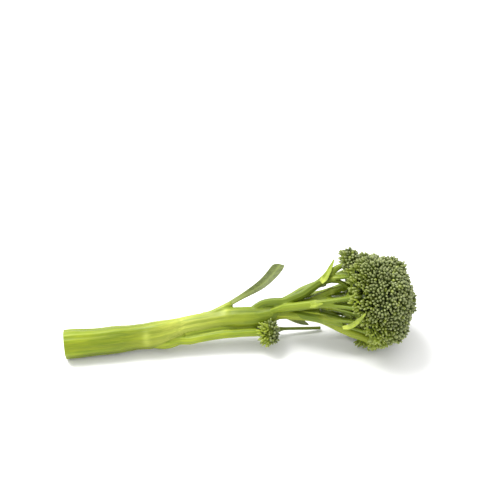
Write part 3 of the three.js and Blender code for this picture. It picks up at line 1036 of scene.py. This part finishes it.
def stalk_piece(name, clusters, buds, wanted):
    """What carries one floret's buds: a stalk from the branch's end to each cluster, a thin stalk to each
    bud, and the crowded young buds deep inside, as one knobbly ball a cluster, coloured nearly black as
    painted shade."""
    which = np.flatnonzero(wanted)
    middle, facing, radius, root, way, rim, warm = (
        clusters[key][which] for key in ("middle", "facing", "radius", "root", "way", "rim", "warm"))
    reach = np.linalg.norm(middle - root, axis=1)[:, None]
    stems = stalk_bodies(root, middle - facing * (radius * rim)[:, None], np.full(len(which), 0.9),
                         1.7 - 1.08 * rim, way * reach * 0.16 - facing * reach * 0.10, 10, 9)

    mine = np.flatnonzero(wanted[buds["cluster"]])
    own = buds["cluster"][mine]
    back = clusters["radius"][own] * (0.55 * buds["centred"][mine] - 1.0 - clusters["rim"][own])
    start = clusters["middle"][own] + clusters["facing"][own] * back[:, None]
    end = buds["place"][mine] - buds["axis"][mine] * BUD_LENGTH * 0.42
    pedicels = stalk_bodies(start, end, np.full(len(mine), 0.36), np.full(len(mine), 0.44),
                            clusters["facing"][own] * -0.35, 6, 4)

    carried = np.bincount(own, minlength=len(wanted))[which]
    inner = (radius - BUD_LENGTH * 0.84) * (1 - 0.6 * rim) * np.clip(carried / 9, 0.3, 1)
    level = np.linspace(-0.96, 0.96, 8)
    shift = np.where(level < 0, 2.3, 0.8) * level * inner[:, None]
    line = middle[:, None] + facing[:, None] * shift[..., None]
    knobs = np.full((len(which), len(level)), 0.07)
    cores = sweep(line, np.sqrt(1 - level ** 2)[None] * inner[:, None], 12, knobs, 5)

    shapes = [stems, pedicels, cores]
    whole = joined(shapes)
    mesh = mesh_of(name, whole)
    # Painted shade: darkest for the balls and deep in the floret, lighter on the warm stalks at the head's
    # edge.
    depth = np.choose(whole["kind"], [0.15 + 0.2 * whole["along"], 0.45 - 0.4 * whole["along"], 0.9])
    light = np.concatenate([warm[stems["body"]], clusters["warm"][own][pedicels["body"]],
                            np.zeros(len(cores["body"]))])
    hold(
        mesh,
        tone=np.concatenate([rng.uniform(0, 1, shape["layout"][0])[shape["body"]] for shape in shapes]),
        depth=np.clip(depth * (1.15 - light), 0, 1),
    )
    piece(name, mesh, "branch_flesh")


# --------------------------------------------------------------------------------- leaves and bracts

def blade_shape(line, width, thickness, up, cup, wave, around=20):
    """A leaf carried along its rib. At angle t round the section the point is width/2 * cos t across and
    thickness/2 * sin t through, lifted by cup * width * cos^2 t and by a wave that grows towards the
    edges."""
    along = unit(np.gradient(line, axis=0))
    side = unit(np.cross(up, along))
    face = np.cross(along, side)
    turn = np.arange(around) * (2 * math.pi / around)
    run = np.linspace(0, 1, len(line))[:, None]
    edge = np.cos(turn)[None]
    ripple = wave * np.sin(run * 17 + np.sign(edge) * 1.3) * edge ** 2 * width[:, None]
    lift = np.sin(turn)[None] * thickness[:, None] / 2 + cup * width[:, None] * edge ** 2 + ripple
    sideways = edge * width[:, None] / 2
    rings = line[:, None] + side[:, None] * sideways[..., None] + face[:, None] * lift[..., None]
    poles = np.stack([rings[0].mean(0) - along[0] * 0.1, rings[-1].mean(0) + along[-1] * thickness[-1] * 0.4])
    shape = closed(rings[None], poles[None])
    shape["across"] = np.concatenate([np.tile(np.cos(turn), len(line)), [0, 0]])
    return shape


def leaf_piece(name, up, cup, wave, vein_pairs, slot, stations):
    """A leaf or bract along its stations, read finely by a smooth curve, with its midrib and slanting
    side veins."""
    stations = np.array(stations, float)
    stations[:, :3] += CROWN
    fine = np.linspace(0, len(stations) - 1, 70)
    knots = np.arange(len(stations))
    columns = smoothed(np.stack([np.interp(fine, knots, column) for column in stations.T], 1), 30)
    shape = blade_shape(columns[:, :3], columns[:, 3], columns[:, 4], np.array(up), cup, wave)
    along, place_across = shape["along"], shape["across"]
    slant = (along * vein_pairs - np.abs(place_across) * 0.9) % 1
    side_vein = bell(slant, 0.5, 0.09) * 0.5 * np.clip(along * 4 - 1, 0, 1)
    vein = np.clip(np.maximum(bell(place_across, 0, 0.16), side_vein), 0, 1)
    mesh = mesh_of(f"{name}_blade", shape)
    hold(mesh, along=along, across=place_across, vein=vein)
    piece(f"{name}_blade", mesh, slot, [name])


def trimmed_leaf_stalk():
    """The thin leaf stalk whose blade is gone, with a scar that swells it and sinks it halfway along."""
    line, radii = even(*spine_of("trimmed_petiole"))
    scar = bell(np.linspace(0, 1, len(line)), 0.5, 0.035)
    shape = sweep(line[None] - [[[0, 0, 0.3]]] * scar[:, None], (radii * (1 + 0.6 * scar))[None], 14)
    mesh = mesh_of("cut_leaf_stalk", shape)
    # Here the darkening is the stalk's own darker olive tone, growing along its length.
    hold(mesh, depth=0.25 + shape["along"] * 0.25, tone=0.4 + 0.3 * np.sin(shape["along"] * 9))
    piece("cut_leaf_stalk", mesh, "branch_flesh", ["trimmed_petiole"])


# ----------------------------------------------------------------------------------------- the stalk

def crown_clusters():
    """The clusters of the crown's dome and of the small floret beside it, by the number of their
    floret."""
    rays = cap_directions(CROWN_CLUSTERS, CROWN_WIDEST)
    limit = rear_limit(np.arctan2(rays[:, 2], rays[:, 1]))
    names = [f"floret_{name}" for name in FLORETS if name != "small"]
    dome = clusters_on(names, CROWN, CROWN + [-13.0, 0.0, 0.0], rays, limit,
                       radius=4.2, even_out=0.45, mean_reach=25.2, shouldered=0.055)
    middle, widest = middle_of("floret_small"), 138
    rays = cap_directions(34, widest)
    small = clusters_on(["floret_small"], middle, middle - [6.0, 3.0, 4.0], rays, widest,
                        radius=2.8, even_out=0.4, mean_reach=6.5)
    small["owner"] += len(names)
    small["rim"] *= 0.6
    clusters = {key: np.concatenate([dome[key], small[key]]) for key in dome}
    clusters["warm"] = np.clip(clusters["rim"] * 1.25, 0, 1) * rng.uniform(0.6, 1.0, len(clusters["rim"]))
    # The crown's buds get no painted shade.
    clusters["dark"] = np.zeros(len(clusters["rim"]))
    return clusters


def divide_branches(clusters):
    """Leads every branch on to the clusters that it carries, through the thinner stalks that it divides
    into. Gives each cluster the point and the way that its own stalk starts with, and returns the
    joints."""
    joints = [[*(CROWN + joint[:3]), *joint[3:]] for joint in JOINTS]
    clusters["root"], clusters["way"] = np.zeros_like(clusters["middle"]), np.zeros_like(clusters["middle"])
    for i, name in enumerate(FLORETS):
        spine = "main_stem" if name == "tip" else f"branch_{name}"
        line, radii = spines[spine]
        mine = np.flatnonzero(clusters["owner"] == i)
        middles = clusters["middle"][mine]
        if name in DIVIDES:
            at_x, count = DIVIDES[name]
            spines[spine], stalks, group = divided(line, radii, CROWN[0] + at_x, middles, count)
            joints.append([*spines[spine][0][-2], *FORK_SIZE])
            for k, stalk in enumerate(stalks):
                spines[f"{spine}_{k}"] = even(*stalk)
        else:
            stalks, group = [grown_on(line, radii, middles.mean(0))], np.zeros(len(mine), int)
            spines[spine] = stalks[0]
        clusters["root"][mine] = np.array([stalk[0][-2] for stalk in stalks])[group]
        clusters["way"][mine] = np.array([unit(stalk[0][-1] - stalk[0][-4]) for stalk in stalks])[group]
    return np.array(joints)


def side_head(middle):
    """The side shoot's small open head: pale buds behind, and in front buds darkened as painted shade."""
    widest = 140
    rays = cap_directions(26, widest)
    clusters = clusters_on(["side_shoot_head"], middle, middle - [6.0, 0, 0], rays, widest,
                           radius=3.0, even_out=0.5, mean_reach=7.6)
    clusters["middle"] = middle + (clusters["middle"] - middle) * [0.85, 1.12, 1.12]
    forward = clusters["middle"][:, 0] - middle[0]
    clusters["warm"] = np.clip(0.9 - forward / 2.2, 0, 1.6)
    # Painted shade: buds towards the front, +X, are darkened.
    clusters["dark"] = np.clip(forward / 3, 0, 0.6)
    clusters["rim"] = np.clip(clusters["warm"], 0, 1)
    buds = buds_of(clusters, per_cluster=14, widest=80, looseness=0.4, thinning=0.3)
    everyone = np.ones(len(clusters["radius"]), bool)
    line = spines["side_shoot"][0]
    clusters["root"] = np.tile(line[-3], (len(everyone), 1))
    clusters["way"] = np.tile(unit(line[-1] - line[-5]), (len(everyone), 1))
    bud_piece("buds_side_shoot", clusters, buds, everyone, ["side_shoot_head"], size=0.95)
    stalk_piece("bud_stalks_side_shoot", clusters, buds, everyone)


clusters = crown_clusters()
buds = buds_of(clusters, per_cluster=30, widest=84)
joints = divide_branches(clusters)
side_middle = middle_of("side_shoot_head") + [-1.9, -0.5, -0.5]
spines["side_shoot"] = grown_on(*spines["side_shoot"], side_middle - [2.5, 0, 0], share=1.0, taper=0.8)

flesh_nodes = ["main_stem", "side_shoot", *(f"branch_{name}" for name in BRANCHES)]
piece("stem_and_branches", dressed_flesh(joints), "stem_flesh", flesh_nodes)
for i, name in enumerate(FLORETS):
    wanted = clusters["owner"] == i
    bud_piece(f"buds_{name}", clusters, buds, wanted, [f"floret_{name}"])
    stalk_piece(f"bud_stalks_{name}", clusters, buds, wanted)
side_head(side_middle)
trimmed_leaf_stalk()
for name, leaf in LEAVES.items():
    leaf_piece(name, *leaf)

# --------------------------------------------------------------------------------- the room and view

FLOOR_SIZE = 4000.0
floor_corners = np.array([[-1.0, -1, 0], [1, -1, 0], [1, 1, 0], [-1, 1, 0]]) * FLOOR_SIZE / 2
floor_shape = {
    "corners": floor_corners,
    "quads": np.array([[0, 1, 2, 3]]),
    "triangles": np.empty((0, 3), int),
}
floor = placed("floor", mesh_of("floor", floor_shape))
floor.data.materials.append(floor_look())

VIEW_ELEVATION = math.radians(38)
VIEW_DISTANCE = 659.0
aim = CROWN + [-58.2, 72.2, -CROWN[2]]
eye = aim + VIEW_DISTANCE * np.array([0, -math.cos(VIEW_ELEVATION), math.sin(VIEW_ELEVATION)])
camera_data = bpy.data.cameras.new("camera")
camera_data.lens = 85.0
camera_data.sensor_width = 36.0
camera_data.clip_start = 0.01
camera_data.clip_end = 20.0
camera = placed("camera", camera_data)
camera.location = Vector(eye) * MM
camera.rotation_euler = (math.pi / 2 - VIEW_ELEVATION, 0, 0)
bpy.context.scene.camera = camera

KEY_PLACE = Vector((-380, 300, 800)) * MM
KEY_LOOKS_AT = Vector((0, 0, 10 * MM))
key_data = bpy.data.lights.new("key", "AREA")
key_data.shape = "SQUARE"
key_data.size = 560 * MM
key_data.energy = 11.5
key = placed("key", key_data)
key.location = KEY_PLACE
key.rotation_euler = (KEY_LOOKS_AT - key.location).to_track_quat("-Z", "Y").to_euler()

world = bpy.data.worlds.new("studio")
world.use_nodes = True
world.node_tree.nodes["Background"].inputs["Color"].default_value = (1.0, 1.0, 1.0, 1)
world.node_tree.nodes["Background"].inputs["Strength"].default_value = 1.12
bpy.context.scene.world = world
bpy.context.scene.view_settings.view_transform = "Standard"
